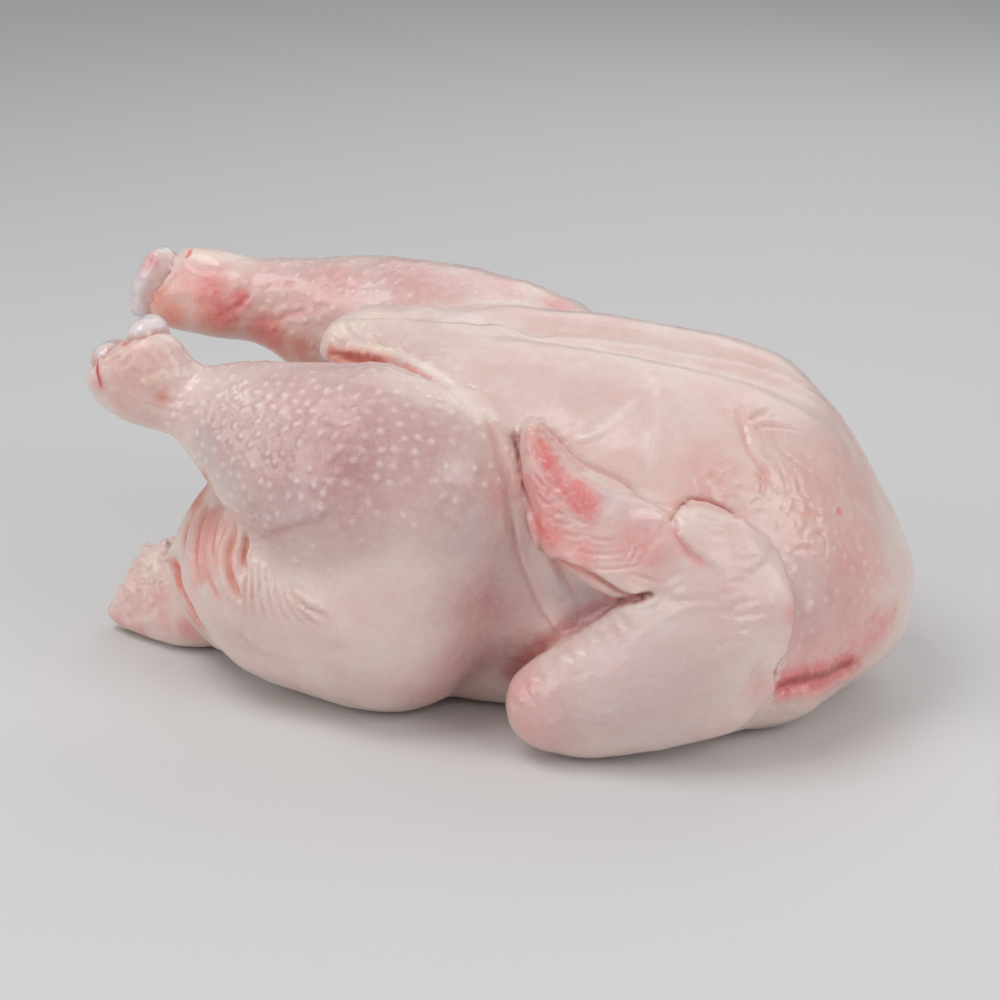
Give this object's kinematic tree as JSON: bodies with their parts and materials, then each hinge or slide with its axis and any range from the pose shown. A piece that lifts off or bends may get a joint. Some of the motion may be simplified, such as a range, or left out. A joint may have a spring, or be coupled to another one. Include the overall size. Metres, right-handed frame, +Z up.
{
  "type": "whole raw chicken",
  "caption": "Whole raw chicken lying on its back, breast up, with drumsticks, folded wings, tail and an open body cavity.",
  "frame": {"origin": "centre of the bounding box in plan, on the ground under the bird's back", "axes": "+X to the neck end, +Y to the bird's side away from the camera, +Z up to the breast"},
  "size_m": [0.245, 0.1584, 0.1128],
  "materials": {
    "carcass": "moist raw skin, cream pink, mauve on the legs and red at the folds",
    "near_leg_bone": "wet blue white cartilage",
    "far_leg_bone": "wet blue white cartilage"
  },
  "bodies": {
    "root": {"carcass": "carcass", "near_leg_bone": "near_leg_bone", "far_leg_bone": "far_leg_bone"}
  },
  "joints": []
}
